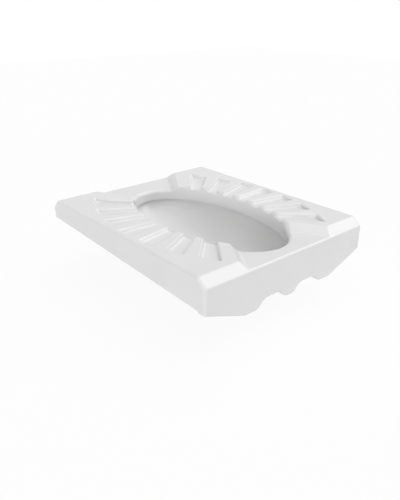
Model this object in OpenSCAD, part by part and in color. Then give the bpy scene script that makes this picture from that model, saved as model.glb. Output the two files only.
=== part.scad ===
// Squat toilet pan of vitreous china: a deck with two grooved footrests round an oval opening, a flush
// gallery behind the rim, a bowl that falls to a waste spigot at the front, and two rubber seals.
// The pan frame used below has x = 0 on the centre line, y = 0 on the front face and z = 0 at the low
// edge of the front face. The finished part stands on the centre of the waste spigot's end.

/* [Overall] */
// Width across the two footrests
pan_w = 510; // [470:1:560]
// Length from the front face to the rear face
pan_l = 623; // [610:1:660]
// Radius of the four upright corners
corner_r = 8; // [3:1:14]
// Radius along the long upper edges
edge_r = 7; // [2:0.5:10]

/* [Deck] */
// Height of the footrests above the low front edge
foot_h = 18.5; // [16:0.5:24]
// Height of the front channel's floor
front_floor_h = 2; // [0:0.5:4]
// Height of the rear channel's floor
rear_floor_h = 2; // [0:0.5:4]
// Thickness of the deck below the grooves
deck_t = 11; // [8:0.5:13]
// Length of the slope at both ends of each footrest
end_slope_l = 23; // [16:1:30]
// Width of the front channel's floor at the front face
front_channel_w = 269; // [230:1:290]
// Width of the rear channel's floor at the rear face
rear_channel_w = 254; // [230:1:275]
// Angle in plan between each channel's sides and the centre line
channel_angle = 31; // [26:1:36]
// Width in plan of the slope beside the front channel
front_side_run = 20; // [16:1:28]
// Width in plan of the slope beside the rear channel
rear_side_run = 20; // [16:1:28]

/* [Grooves] */
// Grooves in each footrest
groove_count = 7; // [3:2:7]
// Distance from the front face to the middle groove
groove_y = 300; // [294:1:306]
// Distance between grooves along their outer ends
groove_pitch_out = 77; // [70:1:80]
// Distance between grooves along the rim
groove_pitch_in = 51; // [46:1:54]
// Width of a groove at its outer end
groove_w_out = 39.5; // [30:0.5:46]
// Width of a groove at the rim
groove_w_in = 28; // [20:0.5:32]
// Depth of the grooves
groove_depth = 9; // [5:0.5:11]
// Distance from the side face to the middle groove
groove_margin = 15.5; // [14:0.5:24]
// Radius of the arc that the outer ends lie on
groove_arc_r = 480; // [440:5:600]

/* [Opening] */
// Width of the oval opening
open_w = 274; // [250:1:290]
// Distance from the front face to the opening
open_front = 41; // [36:1:44]
// Distance from the opening to the rear face
open_rear = 78; // [74:1:90]
// Depth of the rim's lower lip below the low front edge
lip_drop = 27; // [24:0.5:30]
// Thickness of the rim wall round the opening
rim_t = 6; // [5:0.5:7]

/* [Skirts] */
// Thickness of the front wall
front_t = 21; // [16:0.5:23]
// Thickness of the side and rear skirts
skirt_t = 14; // [10:0.5:16]
// Drop of the side skirts at the front
skirt_drop_front = 56.5; // [48:0.5:58]
// Drop of the side skirts at the rear
skirt_drop_rear = 32.5; // [30:0.5:40]
// Drop of the front wall at its two corners
corner_drop = 60.5; // [58:0.5:66]
// Drop of the front wall's three lobes
lobe_drop = 103; // [94:0.5:110]
// Drop of the two arches between the lobes
arch_drop = 82.5; // [76:0.5:86]
// Flat width of the middle lobe
mid_lobe_w = 6; // [2:1:10]
// Flat width of each arch
arch_w = 28; // [24:1:34]
// Flat width of the outer lobes
side_lobe_w = 28; // [20:1:36]
// Width of each curve between a lobe and an arch
wave_w = 41; // [36:1:44]

/* [Flush gallery] */
// Width of the water channel behind the rim wall
gallery_w = 31; // [24:1:34]
// Thickness of the gallery's floor and outer wall
gallery_t = 8; // [6:0.5:9]
// Length of each wash slot
slot_l = 18; // [10:1:24]
// Wash slots round the rim
slot_count = 24; // [12:2:32]
// Width of the wash slots
slot_w = 3; // [2:0.5:3.5]
// Gap between the rim wall and the wash slots
slot_gap = 0.5; // [0.3:0.1:0.8]

/* [Bowl] */
// Distance that the bowl's inner face is set back behind the lip
bowl_set_back = 10; // [7.5:0.5:10.5]
// Thickness of the bowl
bowl_t = 10; // [8:0.5:11]
// Depth of the bowl below the lip
bowl_depth = 106; // [95:1:110]

/* [Waste spigot] */
// Distance from the front face to the middle of the waste spigot
waste_y = 150; // [140:1:165]
// Outer radius of the waste spigot
waste_r = 50; // [46:0.5:52]
// Inner radius of the waste spigot
waste_bore_r = 41; // [36:0.5:43]
// Length of the waste spigot
waste_l = 40; // [34:1:42]
// Height of the rubber ring at the top of the spigot
waste_seal_h = 12; // [8:0.5:16]
// Thickness of the rubber ring round the spigot
waste_seal_t = 8; // [6:0.5:10]
// Depth of the seat round the spigot that holds the rubber ring
waste_seat = 2; // [1:0.5:2.5]

/* [Flush inlet] */
// Outer radius of the flush inlet
inlet_r = 27; // [25:0.5:29]
// Bore radius of the flush inlet
inlet_bore_r = 22; // [19:0.5:23]
// Distance that the inlet's mouth is set in from the rear face
inlet_set_in = 5; // [4:0.5:7]
// Gap round the inlet in the rear skirt
inlet_gap = 3; // [2:0.5:4]
// Width of the water way from the inlet up to the gallery
riser_bore_w = 24; // [16:1:28]
// Length of the water way from the inlet up to the gallery
riser_bore_l = 12; // [8:1:14]
// Thickness of the walls round that water way
riser_t = 6; // [4:0.5:7]
// Bore radius of the rubber inlet seal, which takes the flush pipe
pipe_r = 16; // [12:0.5:17]
// Length of the inlet seal inside the inlet
inlet_seal_l = 25; // [16:1:30]
// Thickness of the inlet seal's collar
collar_t = 4; // [3:0.5:5]

/* [Webs] */
// Thickness of the webs under the footrests
web_t = 10; // [8:0.5:14]
// Drop of the webs' lower edge
web_drop = 38; // [34:0.5:41]
// Distance of each web from the middle of the opening
web_offset = 105; // [80:1:120]

/* [Hidden] */
$fn = 64;
china = [0.95, 0.95, 0.94];
rubber = [0.16, 0.16, 0.17];
reach = 2 * pan_l;                                   // longer than any cut needs
eps = 0.01;
over = 1;                                            // how far a cut runs past a face
groove_run_on = 0.25;                                // share of its length that a groove's side runs on
oval_n = 96;                                         // sides of each oval
arc_n = 6;                                           // steps of each curve in the wave
open_a = open_w / 2;
open_b = (pan_l - open_front - open_rear) / 2;
open_y = open_front + open_b;                        // middle of the opening
front_slope = atan((foot_h - front_floor_h) / front_side_run);
rear_slope = atan((foot_h - rear_floor_h) / rear_side_run);
end_slope = atan(foot_h / end_slope_l);
foot_under = foot_h - groove_depth - deck_t;         // underside of the deck below the footrests
slot_mid = rim_t + slot_gap + slot_w / 2;            // from the opening's edge to the slots' middle
gallery_out = rim_t + gallery_w + gallery_t;         // from the opening's edge to the gallery's outside
bowl_foot = -lip_drop - bowl_depth - bowl_t;         // lower end of the bowl
waste_end = bowl_foot - waste_l;                     // lower end of the spigot
inlet_z = -lip_drop - inlet_r;
inlet_mouth = pan_l - inlet_set_in;
rear_inside = pan_l - skirt_t;
riser_y = open_y + open_b + rim_t + gallery_w - riser_bore_l / 2;
riser_out = riser_y + riser_bore_l / 2 + riser_t;    // rear face of the walls round the riser
inlet_seal_y = inlet_mouth - inlet_seal_l;
bowl_rings = 11;
bowl_sides = 64;

// Moves a shape from the pan frame to the part's own frame
module place() translate([0, -waste_y, -waste_end]) children();

// Everything above a plane that holds the line through p along heading and rises to that line's left
module above_slope(p, heading, angle) {
    translate(p) rotate([0, 0, heading]) rotate([angle, 0, 0])
        translate([-reach, -reach, 0]) cube([2 * reach, 2 * reach, reach]);
}

// Points of an oval with half-axes a and b
function oval(a, b) = [for (i = [0:oval_n - 1]) [a * cos(360 * i / oval_n), b * sin(360 * i / oval_n)]];

// The opening's outline grown by d, as a prism between two heights
module opening_prism(d, z0, z1) {
    translate([0, open_y, z0]) linear_extrude(z1 - z0) polygon(oval(open_a + d, open_b + d));
}

// Plan of the pan with round corners
module plan(inset = 0) {
    w = pan_w / 2 - inset;
    r = max(corner_r - inset, 1);
    translate([-w + r, inset]) square([2 * (w - r), pan_l - 2 * inset]);
    translate([-w, inset + r]) square([2 * w, pan_l - 2 * (inset + r)]);
    for (x = [-w + r, w - r])
        for (y = [inset + r, pan_l - inset - r])
            translate([x, y]) circle(r);
}

// Space above the floor of the front channel, between the two side slopes
module front_channel(drop = 0) {
    edge = [-front_channel_w / 2, 0, front_floor_h - drop];
    intersection() {
        above_slope(edge, 90 - channel_angle, front_slope);
        mirror([1, 0, 0]) above_slope(edge, 90 - channel_angle, front_slope);
        translate([-pan_w / 2, -eps, front_floor_h - drop]) cube([pan_w, open_y, reach]);
    }
}

// Space above the floor of the rear channel, between the two side slopes
module rear_channel(drop = 0) {
    edge = [-rear_channel_w / 2, pan_l, rear_floor_h - drop];
    intersection() {
        above_slope(edge, 90 + channel_angle, rear_slope);
        mirror([1, 0, 0]) above_slope(edge, 90 + channel_angle, rear_slope);
        translate([-pan_w / 2, open_y, rear_floor_h - drop]) cube([pan_w, pan_l - open_y + eps, reach]);
    }
}

// Distance of a groove's outer end from the centre line, on the arc, at offset y from the middle
function arc_x(y) = pan_w / 2 - groove_margin - groove_arc_r + sqrt(groove_arc_r ^ 2 - y ^ 2);

// Distance of the opening's edge from the centre line at length y
function rim_x(y) = open_a * sqrt(max(0, 1 - ((y - open_y) / open_b) ^ 2));

// Plan of groove i, counted from the middle one, as far as the opening
module groove_plan(i) {
    yo = groove_y + groove_pitch_out * i;
    yi = groove_y + groove_pitch_in * i;
    lo = [yo - groove_w_out / 2, yi - groove_w_in / 2];
    hi = [yo + groove_w_out / 2, yi + groove_w_in / 2];
    a = [arc_x(lo[0] - groove_y), lo[0]];
    b = [arc_x(hi[0] - groove_y), hi[0]];
    c = [rim_x(hi[1]), hi[1]];
    d = [rim_x(lo[1]), lo[1]];
    polygon([a, b, c + groove_run_on * (c - b), d + groove_run_on * (d - a)]);
}

// The grooves of both footrests
module grooves() {
    half = (groove_count - 1) / 2;
    for (side = [0, 1])
        mirror([side, 0, 0])
            for (i = [-half:half])
                translate([0, 0, foot_h - groove_depth]) linear_extrude(reach) groove_plan(i);
}

// Curve of two equal arcs that runs level at both ends, from p over w sideways and h upwards
function wave(p, w, h) =
    let (r = (w ^ 2 + h ^ 2) / (4 * abs(h)), turn = 2 * atan(abs(h) / w), s = sign(h))
    concat(
        [for (i = [0:arc_n]) p + [r * sin(turn * i / arc_n), s * r * (1 - cos(turn * i / arc_n))]],
        [for (i = [arc_n - 1:-1:0])
            p + [w - r * sin(turn * i / arc_n), h - s * r * (1 - cos(turn * i / arc_n))]]);

// Outline of the right half of the front wall, with its waved lower edge
function wall_half() =
    let (rise = lobe_drop - arch_drop,
        p1 = [mid_lobe_w / 2, -lobe_drop],
        p2 = p1 + [wave_w + arch_w, rise],
        p3 = p2 + [wave_w + side_lobe_w, -rise])
    concat([[0, foot_h], [0, -lobe_drop]], wave(p1, wave_w, rise), wave(p2, wave_w, -rise),
        [p3, [pan_w / 2, -corner_drop], [pan_w / 2, foot_h]]);

// Front wall before the channel and slopes are cut
module front_wall() {
    for (side = [0, 1])
        mirror([side, 0, 0])
            translate([0, front_t, 0]) rotate([90, 0, 0]) linear_extrude(front_t) polygon(wall_half());
}

// Outside of the deck with its skirts, before the openings are cut
module deck_block() {
    difference() {
        translate([0, 0, -skirt_drop_front]) linear_extrude(foot_h + skirt_drop_front) plan();
        skirt_run = pan_l - front_t;
        translate([0, front_t, -skirt_drop_front])
            rotate([atan((skirt_drop_front - skirt_drop_rear) / skirt_run), 0, 0])
                translate([-pan_w, 0, -reach]) cube([2 * pan_w, reach, reach]);
    }
    intersection() {
        front_wall();
        translate([0, 0, -reach / 2]) linear_extrude(reach) plan();
    }
}

// Hollow below the deck, inside the skirts
module hollow() {
    difference() {
        translate([-pan_w / 2 + skirt_t, front_t, -reach])
            cube([pan_w - 2 * skirt_t, rear_inside - front_t, reach + foot_under]);
        front_channel(deck_t);
        rear_channel(deck_t);
    }
}

// Cuts that round the two long upper edges
module long_edges() {
    for (side = [0, 1])
        mirror([side, 0, 0])
            translate([pan_w / 2 - edge_r, -eps, foot_h - edge_r]) difference() {
                cube([2 * edge_r, pan_l + 2 * eps, 2 * edge_r]);
                rotate([-90, 0, 0]) translate([0, 0, -over]) cylinder(r = edge_r, h = pan_l + 2 * over);
            }
}

module deck() place() color(china) {
    difference() {
        deck_block();
        difference() {
            hollow();
            opening_prism(rim_t, -lip_drop, reach);
        }
        front_channel();
        rear_channel();
        above_slope([0, 0, 0], 0, end_slope);
        above_slope([0, pan_l, 0], 180, end_slope);
        long_edges();
        grooves();
        opening_prism(0, -reach, reach);
        translate([0, rear_inside - eps, inlet_z]) rotate([-90, 0, 0])
            cylinder(r = inlet_r + inlet_gap, h = skirt_t + over);
    }
}

// Floor ring and outer wall of the gallery, before its holes
module gallery_ring() {
    difference() {
        intersection() {
            opening_prism(gallery_out, -lip_drop, foot_h);
            hollow();
        }
        opening_prism(rim_t, -reach, reach);
        opening_prism(rim_t + gallery_w, gallery_t - lip_drop, reach);
    }
}

// Wash slots along the rim, each turned to follow it
module wash_slots() {
    for (i = [0:slot_count - 1]) {
        t = 360 * (i + 0.5) / slot_count;
        a = open_a + slot_mid;
        b = open_b + slot_mid;
        translate([a * cos(t), open_y + b * sin(t), -lip_drop - over])
            rotate([0, 0, atan2(b * cos(t), -a * sin(t))])
                translate([-slot_l / 2, -slot_w / 2, 0]) cube([slot_l, slot_w, gallery_t + 2 * over]);
    }
}

// Water way from the inlet up through the gallery's floor
module riser_way() {
    translate([-riser_bore_w / 2, riser_y - riser_bore_l / 2, inlet_z])
        cube([riser_bore_w, riser_bore_l, inlet_r + gallery_t + over]);
}

module flush_gallery() place() color(china) {
    difference() {
        gallery_ring();
        wash_slots();
        riser_way();
    }
}

// Ring k of the bowl, grown by t: an oval that shrinks and moves towards the waste as it goes down
function bowl_ring(k, t) =
    let (turn = 90 * k / bowl_rings,
        keep = cos(turn),
        a = waste_bore_r + (open_a + bowl_set_back - waste_bore_r) * keep + t,
        b = waste_bore_r + (open_b + bowl_set_back - waste_bore_r) * keep + t,
        y = waste_y + (open_y - waste_y) * keep,
        z = -lip_drop - (bowl_depth + t) * sin(turn))
    [for (i = [0:bowl_sides - 1])
        [a * cos(360 * i / bowl_sides), y + b * sin(360 * i / bowl_sides), z]];

// A straight ring of radius r at height z
function throat_ring(r, z) =
    [for (i = [0:bowl_sides - 1])
        [r * cos(360 * i / bowl_sides), waste_y + r * sin(360 * i / bowl_sides), z]];

// Closed solid through a list of rings, from the top one down
module loft(rings) {
    n = bowl_sides;
    m = len(rings);
    pts = [for (ring = rings) each ring];
    sides = [for (k = [0:m - 2]) for (i = [0:n - 1]) each
        [[k * n + i, k * n + (i + 1) % n, (k + 1) * n + i],
        [k * n + (i + 1) % n, (k + 1) * n + (i + 1) % n, (k + 1) * n + i]]];
    caps = [[for (i = [n - 1:-1:0]) i], [for (i = [0:n - 1]) (m - 1) * n + i]];
    polyhedron(pts, concat(sides, caps));
}

// Outside of the bowl as a full solid
module bowl_outside() {
    loft([for (k = [0:bowl_rings]) bowl_ring(k, bowl_t)]);
}

// Inside of the bowl as a full solid that runs out at both ends
module bowl_inside() {
    top = [for (p = bowl_ring(0, 0)) [p[0], p[1], p[2] + over]];
    loft(concat([top], [for (k = [0:bowl_rings]) bowl_ring(k, 0)],
        [throat_ring(waste_bore_r, bowl_foot - over)]));
}

module bowl() place() color(china) {
    difference() {
        bowl_outside();
        bowl_inside();
    }
}

module waste_spigot() place() color(china) {
    translate([0, waste_y, waste_end]) difference() {
        union() {
            cylinder(r = waste_r, h = waste_l - waste_seal_h);
            cylinder(r = waste_r - waste_seat, h = waste_l);
        }
        translate([0, 0, -over]) cylinder(r = waste_bore_r, h = waste_l + 2 * over);
    }
}

module inlet_horn() place() color(china) {
    riser_half = riser_bore_w / 2 + riser_t;
    difference() {
        union() {
            translate([0, open_y, inlet_z]) rotate([-90, 0, 0])
                cylinder(r = inlet_r, h = inlet_mouth - open_y);
            translate([-riser_half, open_y, inlet_z])
                cube([2 * riser_half, riser_out - open_y, inlet_r]);
        }
        bowl_outside();
        translate([0, open_y - over, inlet_z]) rotate([-90, 0, 0])
            cylinder(r = inlet_bore_r, h = inlet_mouth - open_y + 2 * over);
        riser_way();
    }
}

// A web from the side skirt to the gallery, with its middle at length y
module web(side, y) {
    place() color(china) mirror([side, 0, 0]) difference() {
        intersection() {
            translate([0, y - web_t / 2, -web_drop]) cube([pan_w / 2, web_t, web_drop + foot_h]);
            hollow();
        }
        opening_prism(gallery_out, -reach, reach);
    }
}

module inlet_seal() place() color(rubber) {
    difference() {
        union() {
            translate([0, inlet_seal_y, inlet_z]) rotate([-90, 0, 0])
                cylinder(r = inlet_bore_r, h = inlet_mouth - inlet_seal_y);
            translate([0, inlet_mouth, inlet_z]) rotate([-90, 0, 0]) cylinder(r = inlet_r, h = collar_t);
        }
        translate([0, inlet_seal_y - over, inlet_z]) rotate([-90, 0, 0])
            cylinder(r = pipe_r, h = inlet_mouth + collar_t - inlet_seal_y + 2 * over);
    }
}

module waste_seal() place() color(rubber) {
    inner = waste_r - waste_seat;
    translate([0, waste_y, bowl_foot - waste_seal_h]) difference() {
        cylinder(r = inner + waste_seal_t, h = waste_seal_h);
        translate([0, 0, -over]) cylinder(r = inner, h = waste_seal_h + 2 * over);
    }
}

deck();
flush_gallery();
bowl();
waste_spigot();
inlet_horn();
web(1, open_y - web_offset);  // web_left_front
web(1, open_y + web_offset);  // web_left_rear
web(0, open_y - web_offset);  // web_right_front
web(0, open_y + web_offset);  // web_right_rear
inlet_seal();
waste_seal();
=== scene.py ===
import math
import bpy
import numpy as np
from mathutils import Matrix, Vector


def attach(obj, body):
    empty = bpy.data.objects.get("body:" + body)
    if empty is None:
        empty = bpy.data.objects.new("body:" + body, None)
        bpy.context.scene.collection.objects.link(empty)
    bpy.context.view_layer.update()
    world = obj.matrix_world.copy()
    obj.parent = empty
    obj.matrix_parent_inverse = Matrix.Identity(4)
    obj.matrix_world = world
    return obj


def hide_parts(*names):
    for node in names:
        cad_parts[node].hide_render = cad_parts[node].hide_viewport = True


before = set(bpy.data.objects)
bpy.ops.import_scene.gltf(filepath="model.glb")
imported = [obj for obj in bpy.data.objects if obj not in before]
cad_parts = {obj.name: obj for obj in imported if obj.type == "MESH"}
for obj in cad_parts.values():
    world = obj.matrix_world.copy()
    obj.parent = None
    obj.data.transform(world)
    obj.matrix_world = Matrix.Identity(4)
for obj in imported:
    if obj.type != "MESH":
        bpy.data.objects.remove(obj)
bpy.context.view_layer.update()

# Sizes are in millimetres in the pan frame, as in part.scad: x = 0 on the centre line,
# y = 0 on the front face, z = 0 at the front face's top edge.
PAN_W, PAN_L = 510.0, 623.0
HALF_W = PAN_W / 2
FOOT_H, FRONT_FLOOR, REAR_FLOOR = 18.5, 2.0, 2.0
END_SLOPE_L = 23.0
DECK_T = 11.0

# The two channels: half width at the mouth, angle of the sides in plan, run of the side slopes
FRONT_CHANNEL, REAR_CHANNEL = 134.5, 127.0
CHANNEL_ANGLE = math.radians(31)
CHANNEL_RUN = 20.0

# Grooves of each footrest, which fan out from the opening to an arc
GROOVES, GROOVE_Y = 7, 300.0
PITCH_OUT, PITCH_IN = 77.0, 51.0
GROOVE_OUT, GROOVE_IN = 39.5, 28.0
GROOVE_D, GROOVE_MARGIN, GROOVE_ARC = 9.0, 15.5, 480.0
GROOVE_DRAFT = math.radians(19)
GROOVE_OVERLAP = 60.0
GROOVES_ABOVE = 4.0

# Opening, rim wall and lip
OPEN_A, OPEN_B, OPEN_Y = 137.0, 252.0, 293.0
LIP_DROP, RIM_T = 27.0, 6.0

# Front wall with its waved lower edge, and the skirts
FRONT_T, SKIRT_T = 21.0, 14.0
SKIRT_FRONT, SKIRT_REAR = 56.5, 32.5
CORNER_DROP, LOBE_DROP, ARCH_DROP = 60.5, 103.0, 82.5
MID_LOBE, WAVE, ARCH, SIDE_LOBE = 6.0, 41.0, 28.0, 28.0

# Notch in the rear skirt for the inlet
NOTCH_DROP, NOTCH_R = 27.0, 30.0
NOTCH_FROM = PAN_L - 3 * SKIRT_T

# Bowl and waste
WASTE_Y, WASTE_END = 150.0, -183.0
BOWL_BACK, BOWL_T, BOWL_DEPTH, WASTE_BORE = 10.0, 10.0, 106.0, 41.0

# Radii of the edges and fillets
CORNER_R, SIDE_EDGE_R, END_EDGE_R = 6.5, 7.0, 2.0
END_SLOPE_R = 1.5
CHANNEL_FOOT_R, CHANNEL_EDGE_R = 1.2, 0.8
GROOVE_CORNER_R, GROOVE_R = 4.0, 3.4
RIM_R, LIP_R, RIM_ROOT_R = 10.0, 1.0, 4.0
# The hollow's lower edges have the first radius, and the second where they lie inside the opening
# by more than the margin
HOLLOW_EDGE_R, LIP_FOOT_R, OPENING_MARGIN = 1.2, 3.0, 1.0
WALL_FOOT_R, WALL_SKIRT_R = 3.5, 3.0
HOLLOW_CORNER_R, HOLLOW_ROOF_R = 6.0, 5.0
NOTCH_EDGE_R = 2.0
# The outer lower edges, which are rounder on the front face: the radius grows by FRONT_LOW_MORE
# from y = LOW_FROM over LOW_OVER towards the front
LOW_EDGE_R, FRONT_LOW_MORE = 1.2, 2.3
LOW_FROM, LOW_OVER = 10.0, 6.0

# Grid on which the deck is meshed, as spans of start, end and step, and the angles in degrees
# over which its edges are cut in two, pass by pass, down to the shortest edge that is cut
GRID_X = ((0, 240, 4.4), (240, 256.5, 2.4))
GRID_Y = ((-1.5, 30, 2.6), (30, 590, 4.4), (590, 624.5, 3.2))
GRID_Z = ((-104, -60, 4.4), (-60, -32, 3.9), (-32, -22, 2.0), (-22, -3, 3.8), (-3, 20, 2.1))
EDGE_BENDS = (22, 17)
SHORTEST_EDGE = 1.0

# Numbers of the solver that puts points on a field's zero surface
GRADIENT_STEP = 0.05
SETTLE_PASSES, LONGEST_STEP = 3, 1.5
LEAST_GRADIENT = 1e-3

# Points round the bowl, and steps from its lip to its foot
BOWL_SIDES, BOWL_STEPS = 160, 36

# Camera: place in the pan frame, direction in degrees, focal length in pixels of the 500-pixel height
EYE = (-844.6, -677.7, 498.8)
YAW, PITCH = 49.56, 24.75
FOCAL_PX, IMAGE_H, SENSOR_H = 538.2, 500.0, 36.0

# Floor, in metres: half its side, and its height just under the pan's foot
FLOOR_HALF, FLOOR_Z = 6, -0.0005
FLOOR_COLOR = (0.9, 0.9, 0.9, 1)
FLOOR_GLOW = 0.93

# Light: azimuth, elevation and width of each soft lamp in degrees, then its strength
SUNS = (
    (0, 60, 60, 1.0),
    (225, 60, 60, 0.86),
    (330, 40, 40, 0.33),
    (320, 25, 26, 0.45),
    (225, 15, 25, 0.3),
    (202, 8, 14, 0.42),
    (180, 4, 8, 0.4),
)
WORLD_LIGHT = 0.2
WHITE = (1, 1, 1, 1)

# Noise is used between these two values, where most of it lies
NOISE_LOW, NOISE_HIGH = 0.3, 0.7


def to_row(p):
    """Pan frame in mm to the row frame in m."""
    return (np.asarray(p, float) - (0, WASTE_Y, WASTE_END)) / 1000


def direction(azimuth, elevation):
    """Unit vector from two angles in degrees."""
    a, e = math.radians(azimuth), math.radians(elevation)
    return Vector((math.cos(a) * math.cos(e), math.sin(a) * math.cos(e), math.sin(e)))


# Distance fields: negative in the solid, or in the space that is cut out; ax is the distance
# from the centre line, since the pan is symmetric


def both(a, b, r):
    """Intersection of two fields with its edge rounded to radius r."""
    return np.minimum(np.maximum(a, b), -r) + np.hypot(np.maximum(a + r, 0), np.maximum(b + r, 0))


def either(a, b, r):
    """Union of two fields with a fillet of radius r."""
    return -both(-a, -b, r)


def oval(x, y, a, b, yc):
    """Approximate signed distance to an oval."""
    u, v = x / a, (y - yc) / b
    f = np.sqrt(u * u + v * v) + 1e-9
    g = np.hypot(u / a, v / b) / f
    return (f - 1) / g


def rim_x(y):
    """Half width of the opening at y."""
    return OPEN_A * math.sqrt(max(0, 1 - ((y - OPEN_Y) / OPEN_B) ** 2))


def arc_x(y):
    """Outer end of the grooves at a distance y from the middle one."""
    return HALF_W - GROOVE_MARGIN - GROOVE_ARC + math.sqrt(GROOVE_ARC ** 2 - y * y)


def past_foot(ax, along, half_w):
    """Plan distance outwards from the foot of a channel's side slope; along runs inwards from its mouth."""
    return (ax - half_w) * math.cos(CHANNEL_ANGLE) + along * math.sin(CHANNEL_ANGLE)


def side_slope(floor):
    return (FOOT_H - floor) / CHANNEL_RUN


def channel(ax, along, z, half_w, floor):
    """Field of the space above a channel's floor and between its side slopes."""
    slope = side_slope(floor)
    side = (slope * past_foot(ax, along, half_w) - (z - floor)) / math.hypot(1, slope)
    return both(floor - z, side, CHANNEL_FOOT_R)


def channel_roof(ax, along, half_w, floor):
    """Height of the deck's underside below a channel."""
    return floor - DECK_T + side_slope(floor) * np.maximum(past_foot(ax, along, half_w), 0)


def groove(ax, y, z, i):
    """Field of groove i, counted from the middle one."""
    out_y, in_y = PITCH_OUT * i, GROOVE_Y + PITCH_IN * i
    outer_front, outer_rear = (
        (arc_x(out_y + s * GROOVE_OUT / 2), GROOVE_Y + out_y + s * GROOVE_OUT / 2) for s in (-1, 1)
    )
    inner_front, inner_rear = (
        (rim_x(in_y + s * GROOVE_IN / 2), in_y + s * GROOVE_IN / 2) for s in (-1, 1)
    )
    floor = FOOT_H - GROOVE_D
    middle = floor + GROOVE_D / 2
    field = None
    for p, q in ((outer_front, outer_rear), (outer_rear, inner_rear), (inner_front, outer_front)):
        t = np.subtract(q, p) / math.dist(p, q)
        flat = (ax - p[0]) * t[1] - (y - p[1]) * t[0]
        wall = flat * math.cos(GROOVE_DRAFT) - (z - middle) * math.sin(GROOVE_DRAFT)
        field = wall if field is None else both(field, wall, GROOVE_CORNER_R)
    field = np.maximum(field, (rim_x(in_y) - GROOVE_OVERLAP) - ax)
    return both(field, floor - z, GROOVE_R)


def wave(ax):
    """Height of the front wall's lower edge and its slope."""
    knots = np.cumsum([MID_LOBE / 2, WAVE, ARCH, WAVE, SIDE_LOBE])
    rise = LOBE_DROP - ARCH_DROP
    r = (WAVE * WAVE + rise * rise) / (4 * rise)

    def curve(t):
        """Rise and slope of one wave, made of two arcs of radius r."""
        t = np.clip(t, 0, WAVE)
        s = np.minimum(t, WAVE - t)
        arc = r - np.sqrt(r * r - s * s)
        return np.where(t < WAVE / 2, arc, rise - arc), s / np.sqrt(r * r - s * s)

    up, up_slope = curve(ax - knots[0])
    down, down_slope = curve(ax - knots[2])
    z = -LOBE_DROP + up - down
    slope = np.where(ax < knots[1], up_slope, down_slope)
    diagonal = (LOBE_DROP - CORNER_DROP) / (HALF_W - knots[4])
    past = np.maximum(ax - knots[4], 0)
    return z + past * diagonal, np.where(past > 0, diagonal, slope)


def block(ax, y, z):
    """Field of the top, the end slopes, the sides and the ends, with the edges between them."""
    slope = math.atan2(FOOT_H, END_SLOPE_L)
    end = z * math.cos(slope) - np.minimum(y, PAN_L - y) * math.sin(slope)
    top = both(z - FOOT_H, end, END_SLOPE_R)
    side = ax - HALF_W
    u, v = np.maximum(side + SIDE_EDGE_R, 0), np.maximum(top + SIDE_EDGE_R, 0)
    # 1 on the upright corners, 0 on the ends' top edges, and between them round the side's top edge
    upright = (u * u + 1e-6 * (side > top)) / (u * u + v * v + 1e-6)
    r = END_EDGE_R + (CORNER_R - END_EDGE_R) * np.clip(upright, 0, 1)
    d = both(side, top, SIDE_EDGE_R)
    d = both(d, -y, r)
    return both(d, y - PAN_L, r)


def cut_grooves(d, ax, y, z):
    """Takes the grooves out of the field d, in place."""
    high = z > GROOVES_ABOVE
    if np.any(high):
        ax, y, z = ax[high], y[high], z[high]
        last = GROOVES // 2
        grooves = groove(ax, y, z, -last)
        for i in range(1 - last, last + 1):
            grooves = np.minimum(grooves, groove(ax, y, z, i))
        d[high] = both(d[high], -grooves, GROOVE_R)


def lower_edge(ax, y, z):
    """Field of the space above the waved front wall's and the skirts' lower edges."""
    bottom, slope = wave(ax)
    wall = both(y - FRONT_T, (bottom - z) / np.hypot(1, slope), WALL_FOOT_R)
    run = (SKIRT_FRONT - SKIRT_REAR) / (PAN_L - FRONT_T)
    skirt = (-SKIRT_FRONT + (y - FRONT_T) * run) - z
    return either(wall, skirt, WALL_SKIRT_R)


def hollow(ax, y, z, hole):
    """Field of the space under the deck, inside the front wall and the skirts and round the rim wall."""
    roof = np.minimum(
        channel_roof(ax, y, FRONT_CHANNEL, FRONT_FLOOR),
        channel_roof(ax, PAN_L - y, REAR_CHANNEL, REAR_FLOOR),
    )
    roof = np.minimum(roof, FOOT_H - GROOVE_D - DECK_T)
    ends = np.maximum(FRONT_T - y, y - PAN_L + SKIRT_T)
    inside = both(ax - HALF_W + SKIRT_T, ends, HOLLOW_CORNER_R)
    rim_wall = both(hole - RIM_T, -LIP_DROP - z, LIP_R)
    return both(both(inside, z - roof, HOLLOW_ROOF_R), -rim_wall, RIM_ROOT_R)


def deck_field(x, y, z):
    """Field of the whole upper casting."""
    ax = np.abs(x)
    d = block(ax, y, z)
    d = both(d, -channel(ax, y, z, FRONT_CHANNEL, FRONT_FLOOR), CHANNEL_EDGE_R)
    d = both(d, -channel(ax, PAN_L - y, z, REAR_CHANNEL, REAR_FLOOR), CHANNEL_EDGE_R)
    cut_grooves(d, ax, y, z)
    low_r = LOW_EDGE_R + FRONT_LOW_MORE * np.clip((LOW_FROM - y) / LOW_OVER, 0, 1)
    d = both(d, lower_edge(ax, y, z), low_r)
    hole = oval(x, y, OPEN_A, OPEN_B, OPEN_Y)
    d = both(d, -hole, RIM_R)
    hollow_r = np.where(hole > -OPENING_MARGIN, HOLLOW_EDGE_R, LIP_FOOT_R)
    d = both(d, -hollow(ax, y, z, hole), hollow_r)
    notch = np.hypot(x, z + LIP_DROP + NOTCH_DROP) - NOTCH_R
    return both(d, -np.maximum(notch, NOTCH_FROM - y), NOTCH_EDGE_R)


# From a field to a mesh


def spaced(*spans):
    """Grid lines from spans of start, end and step."""
    parts = [np.linspace(a, b, max(1, round((b - a) / s)) + 1)[:-1] for a, b, s in spans]
    return np.append(np.concatenate(parts), spans[-1][1])


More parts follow.
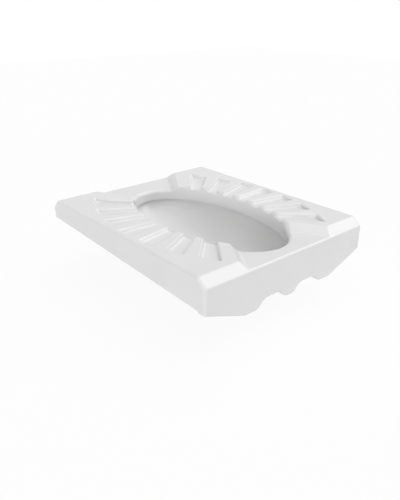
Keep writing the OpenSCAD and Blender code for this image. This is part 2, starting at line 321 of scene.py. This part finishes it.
def sample(field, xs, ys, zs):
    """Values of a field that is symmetric in x, on a grid whose xs start at 0, and all its xs."""
    values = np.empty((len(xs), len(ys), len(zs)), np.float32)
    gx, gy = np.meshgrid(xs, ys, indexing="ij")
    for k, z in enumerate(zs):
        values[:, :, k] = field(gx, gy, np.full_like(gx, z))
    return np.concatenate([values[:0:-1], values]), np.concatenate([-xs[:0:-1], xs])


def gradient(field, p):
    g = np.empty_like(p)
    for axis in range(3):
        step = np.zeros(3)
        step[axis] = GRADIENT_STEP
        ahead, behind = p + step, p - step
        g[:, axis] = (field(*ahead.T.copy()) - field(*behind.T.copy())) / (2 * GRADIENT_STEP)
    return g


def settled(field, p):
    """Points moved onto the field's zero surface, and the surface's normals there."""
    for _ in range(SETTLE_PASSES):
        g = gradient(field, p)
        step = (field(*p.T.copy()) / np.maximum((g * g).sum(1), LEAST_GRADIENT))[:, None] * g
        p = p - np.clip(step, -LONGEST_STEP, LONGEST_STEP)
    g = gradient(field, p)
    return p, g / (np.linalg.norm(g, axis=1)[:, None] + 1e-9)


def skin(field, xs, ys, zs):
    """Closed quad mesh of a field's zero surface: one vertex in each cell that the surface crosses."""
    d, xs = sample(field, xs, ys, zs)
    axes = (xs, ys, zs)
    inside = d < 0
    n = np.array(d.shape) - 1
    corners = np.zeros(n, np.int8)
    for i, j, k in np.ndindex(2, 2, 2):
        corners += inside[i:n[0] + i, j:n[1] + j, k:n[2] + k]
    cell = (corners > 0) & (corners < 8)
    ids = np.full(n, -1, np.int64)
    ids[cell] = np.arange(cell.sum())

    # each vertex starts at the mean of the points where the surface crosses its cell's edges
    cells = np.argwhere(cell)
    total = np.zeros((len(cells), 3))
    count = np.zeros(len(cells))
    for a in range(3):
        b, c = (a + 1) % 3, (a + 2) % 3
        for ob, oc in np.ndindex(2, 2):
            lo = cells.copy()
            lo[:, b] += ob
            lo[:, c] += oc
            hi = lo.copy()
            hi[:, a] += 1
            v0, v1 = d[tuple(lo.T)], d[tuple(hi.T)]
            cross = (v0 < 0) != (v1 < 0)
            t = np.where(cross, v0 / np.where(cross, v0 - v1, 1), 0)
            p = np.stack([axes[k][lo[:, k]] for k in range(3)], 1).astype(float)
            p[:, a] += t * (axes[a][hi[:, a]] - axes[a][lo[:, a]])
            total += p * cross[:, None]
            count += cross
    verts, normals = settled(field, total / count[:, None])

    # each grid edge that the surface crosses gives a quad of the four cells round it
    faces = []
    for a in range(3):
        b, c = (a + 1) % 3, (a + 2) % 3
        lo, hi = [slice(None)] * 3, [slice(None)] * 3
        lo[a], hi[a] = slice(0, n[a]), slice(1, n[a] + 1)
        lo[b] = hi[b] = slice(1, n[b])
        lo[c] = hi[c] = slice(1, n[c])
        starts, ends = inside[tuple(lo)], inside[tuple(hi)]
        base = np.argwhere(starts != ends)
        outward = starts[tuple(base.T)]
        base[:, b] += 1
        base[:, c] += 1
        quad = []
        for ob, oc in ((-1, -1), (0, -1), (0, 0), (-1, 0)):
            q = base.copy()
            q[:, b] += ob
            q[:, c] += oc
            quad.append(ids[tuple(q.T)])
        quad = np.stack(quad, 1)
        quad[~outward] = quad[~outward][:, ::-1]
        faces.append(quad)
    return verts, np.concatenate(faces), normals


def halved(quads, normals):
    """Two triangles for each quad, split along the diagonal whose ends agree best."""
    n = normals[quads]
    turned = (n[:, 0] * n[:, 2]).sum(1) < (n[:, 1] * n[:, 3]).sum(1)
    q = np.where(turned[:, None], np.roll(quads, -1, axis=1), quads)
    return np.concatenate([q[:, [0, 1, 2]], q[:, [0, 2, 3]]])


def refined(field, verts, tris, normals, bend):
    """The mesh with every edge that bends more than an angle in degrees cut in two on the surface."""
    pairs = np.sort(tris[:, [[0, 1], [1, 2], [2, 0]]].reshape(-1, 2), axis=1)
    keys, where = np.unique(pairs[:, 0] * len(verts) + pairs[:, 1], return_inverse=True)
    a, b = keys // len(verts), keys % len(verts)
    cut = (normals[a] * normals[b]).sum(1) < math.cos(math.radians(bend))
    cut &= np.linalg.norm(verts[a] - verts[b], axis=1) > SHORTEST_EDGE
    middle = np.full(len(keys), -1)
    middle[cut] = len(verts) + np.arange(cut.sum())
    new, new_normals = settled(field, (verts[a[cut]] + verts[b[cut]]) / 2)

    # t holds a triangle's corners, and m the middles of its three edges, or -1
    middles = middle[where].reshape(-1, 3)
    cuts = (middles >= 0).sum(1)
    out = [tris[cuts == 0]]

    def add(t, m, *faces):
        named = dict(zip("abcxyz", (*t.T, *m.T)))
        out.extend(np.stack([named[k] for k in face], 1) for face in faces)

    add(tris[cuts == 3], middles[cuts == 3], "axz", "xby", "zyc", "xyz")
    for turn in range(3):
        t, m = np.roll(tris, -turn, axis=1), np.roll(middles, -turn, axis=1)
        one = (cuts == 1) & (m[:, 0] >= 0)
        add(t[one], m[one], "axc", "xbc")
        two = (cuts == 2) & (m[:, 2] < 0)
        add(t[two], m[two], "xby", "axy", "ayc")
    return np.concatenate([verts, new]), np.concatenate(out), np.concatenate([normals, new_normals])


def build_deck():
    """Vertices, triangles and normals of the upper casting."""
    verts, quads, normals = skin(deck_field, spaced(*GRID_X), spaced(*GRID_Y), spaced(*GRID_Z))
    tris = halved(quads, normals)
    for bend in EDGE_BENDS:
        verts, tris, normals = refined(deck_field, verts, tris, normals, bend)
    return verts, tris, normals


def ring(a, b, y, z):
    """Points of a level oval with half axes a and b round the point (0, y, z)."""
    t = np.arange(BOWL_SIDES) * 2 * np.pi / BOWL_SIDES
    return np.stack([a * np.cos(t), y + b * np.sin(t), np.full(BOWL_SIDES, z)], 1)


def bowl_ring(turn, grow):
    """Ring of the bowl at an angle from 0 at its lip to a right angle at its foot, moved out by grow."""
    keep = math.cos(turn)
    a = WASTE_BORE + (OPEN_A + BOWL_BACK - WASTE_BORE) * keep + grow
    b = WASTE_BORE + (OPEN_B + BOWL_BACK - WASTE_BORE) * keep + grow
    y = WASTE_Y + (OPEN_Y - WASTE_Y) * keep
    z = -LIP_DROP - (BOWL_DEPTH + grow) * math.sin(turn)
    return ring(a, b, y, z)


def build_bowl():
    """Vertices and quads of the bowl: down its inner face, through the waste and up its outer face."""
    turns = [math.pi / 2 * k / BOWL_STEPS for k in range(BOWL_STEPS + 1)]
    inner = [bowl_ring(t, 0) for t in turns]
    outer = [bowl_ring(t, BOWL_T) for t in turns]
    foot = ring(WASTE_BORE, WASTE_BORE, WASTE_Y, -LIP_DROP - BOWL_DEPTH - BOWL_T)
    rings = inner + [foot] + outer[::-1]
    faces = []
    for k in range(len(rings)):
        a, b = k * BOWL_SIDES, ((k + 1) % len(rings)) * BOWL_SIDES
        for i in range(BOWL_SIDES):
            j = (i + 1) % BOWL_SIDES
            faces.append((a + i, b + i, b + j, a + j))
    return np.concatenate(rings), faces


def mesh_object(name, verts, faces, normals=None):
    """Smooth object from points in the pan frame."""
    mesh = bpy.data.meshes.new(name)
    mesh.from_pydata(to_row(verts).tolist(), [], faces)
    mesh.validate()
    mesh.shade_smooth()
    if normals is not None:
        mesh.normals_split_custom_set_from_vertices(normals.tolist())
    obj = bpy.data.objects.new(name, mesh)
    bpy.context.scene.collection.objects.link(obj)
    return obj


# Materials


def grained(name, dark, pale, rough, scale, bump):
    """Material with a cloudy colour, a varied roughness and a slight bump of a height in metres."""
    material = bpy.data.materials.new(name)
    material.use_nodes = True
    nodes, links = material.node_tree.nodes, material.node_tree.links
    shader = nodes["Principled BSDF"]
    coord = nodes.new("ShaderNodeTexCoord")

    def noise(size, detail):
        n = nodes.new("ShaderNodeTexNoise")
        n.inputs["Scale"].default_value = size
        n.inputs["Detail"].default_value = detail
        links.new(coord.outputs["Object"], n.inputs["Vector"])
        return n.outputs["Fac"]

    def ranged(value, low, high):
        r = nodes.new("ShaderNodeMapRange")
        r.inputs["From Min"].default_value = NOISE_LOW
        r.inputs["From Max"].default_value = NOISE_HIGH
        r.inputs["To Min"].default_value = low
        r.inputs["To Max"].default_value = high
        links.new(value, r.inputs["Value"])
        return r.outputs["Result"]

    ramp = nodes.new("ShaderNodeValToRGB")
    for element, position, color in zip(ramp.color_ramp.elements, (NOISE_LOW, NOISE_HIGH), (dark, pale)):
        element.position = position
        element.color = (*color, 1)
    links.new(noise(scale, detail=3.0), ramp.inputs["Fac"])
    links.new(ramp.outputs["Color"], shader.inputs["Base Color"])
    links.new(ranged(noise(scale * 3, detail=2.0), *rough), shader.inputs["Roughness"])
    lift = nodes.new("ShaderNodeBump")
    lift.inputs["Strength"].default_value = 1.0
    lift.inputs["Distance"].default_value = bump
    links.new(noise(scale * 5, detail=4.0), lift.inputs["Height"])
    links.new(lift.outputs["Normal"], shader.inputs["Normal"])
    return material


def seen_rays(tree):
    """Socket that is 1 for camera, glossy and transmission rays."""
    path = tree.nodes.new("ShaderNodeLightPath")
    seen = path.outputs["Is Camera Ray"]
    for kind in ("Is Glossy Ray", "Is Transmission Ray"):
        add = tree.nodes.new("ShaderNodeMath")
        add.operation = "MAXIMUM"
        tree.links.new(seen, add.inputs[0])
        tree.links.new(path.outputs[kind], add.inputs[1])
        seen = add.outputs[0]
    return seen


def white_floor(name):
    """Pale floor that shows nearly white to those rays and keeps a faint shadow."""
    material = bpy.data.materials.new(name)
    material.use_nodes = True
    tree = material.node_tree
    tree.nodes.clear()
    diffuse = tree.nodes.new("ShaderNodeBsdfDiffuse")
    diffuse.inputs["Color"].default_value = FLOOR_COLOR
    glow = tree.nodes.new("ShaderNodeEmission")
    glow.inputs["Strength"].default_value = 1.0
    mix = tree.nodes.new("ShaderNodeMixShader")
    out = tree.nodes.new("ShaderNodeOutputMaterial")
    share = tree.nodes.new("ShaderNodeMath")
    share.operation = "MULTIPLY"
    share.inputs[1].default_value = FLOOR_GLOW
    tree.links.new(seen_rays(tree), share.inputs[0])
    tree.links.new(share.outputs[0], mix.inputs["Fac"])
    tree.links.new(diffuse.outputs[0], mix.inputs[1])
    tree.links.new(glow.outputs[0], mix.inputs[2])
    tree.links.new(mix.outputs[0], out.inputs["Surface"])
    return material


# Pieces and their materials
deck_points, deck_tris, deck_normals = build_deck()
deck = mesh_object("deck_glazed", deck_points, deck_tris.tolist(), deck_normals)
bowl = mesh_object("bowl_glazed", *build_bowl())
china = grained(
    "china_glaze", dark=(0.79, 0.79, 0.788), pale=(0.81, 0.81, 0.81),
    rough=(0.16, 0.24), scale=9.0, bump=0.00002,
)
rubber = grained(
    "black_rubber", dark=(0.018, 0.018, 0.019), pale=(0.032, 0.032, 0.034),
    rough=(0.55, 0.7), scale=40.0, bump=0.0001,
)
finer = {"deck": deck, "bowl": bowl}
for node, piece in finer.items():
    piece.data.materials.append(china)
    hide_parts(node)
    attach(piece, "root")
for node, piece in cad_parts.items():
    if node not in finer:
        piece.data.materials.clear()
        piece.data.materials.append(rubber if "seal" in node else china)

# Camera
cam_data = bpy.data.cameras.new("camera")
cam_data.sensor_fit = "VERTICAL"
cam_data.sensor_height = SENSOR_H
cam_data.lens = FOCAL_PX * SENSOR_H / IMAGE_H
cam = bpy.data.objects.new("camera", cam_data)
cam.location = to_row(EYE)
cam.rotation_euler = direction(YAW, -PITCH).to_track_quat("-Z", "Y").to_euler()
bpy.context.scene.collection.objects.link(cam)
bpy.context.scene.camera = cam

# Floor
floor_mesh = bpy.data.meshes.new("floor")
square = [(i * FLOOR_HALF, j * FLOOR_HALF, 0) for i, j in ((-1, -1), (1, -1), (1, 1), (-1, 1))]
floor_mesh.from_pydata(square, [], [(0, 1, 2, 3)])
floor = bpy.data.objects.new("floor", floor_mesh)
floor.location = (0, 0, FLOOR_Z)
bpy.context.scene.collection.objects.link(floor)
floor.data.materials.append(white_floor("pale_floor"))

# World: a weak light, and white for the rays that see it
world = bpy.data.worlds.new("world")
bpy.context.scene.world = world
world.use_nodes = True
tree = world.node_tree
lighting = tree.nodes["Background"]
lighting.inputs["Color"].default_value = WHITE
lighting.inputs["Strength"].default_value = WORLD_LIGHT
backdrop = tree.nodes.new("ShaderNodeBackground")
backdrop.inputs["Color"].default_value = WHITE
backdrop.inputs["Strength"].default_value = 1.0
choice = tree.nodes.new("ShaderNodeMixShader")
tree.links.new(seen_rays(tree), choice.inputs["Fac"])
tree.links.new(lighting.outputs[0], choice.inputs[1])
tree.links.new(backdrop.outputs[0], choice.inputs[2])
tree.links.new(choice.outputs[0], tree.nodes["World Output"].inputs["Surface"])

# Lamps
for azimuth, elevation, width, strength in SUNS:
    data = bpy.data.lights.new("sun", "SUN")
    data.angle = math.radians(width)
    data.energy = strength
    sun = bpy.data.objects.new("sun", data)
    sun.rotation_euler = direction(azimuth, elevation).to_track_quat("Z", "Y").to_euler()
    bpy.context.scene.collection.objects.link(sun)

bpy.context.scene.view_settings.view_transform = "Standard"
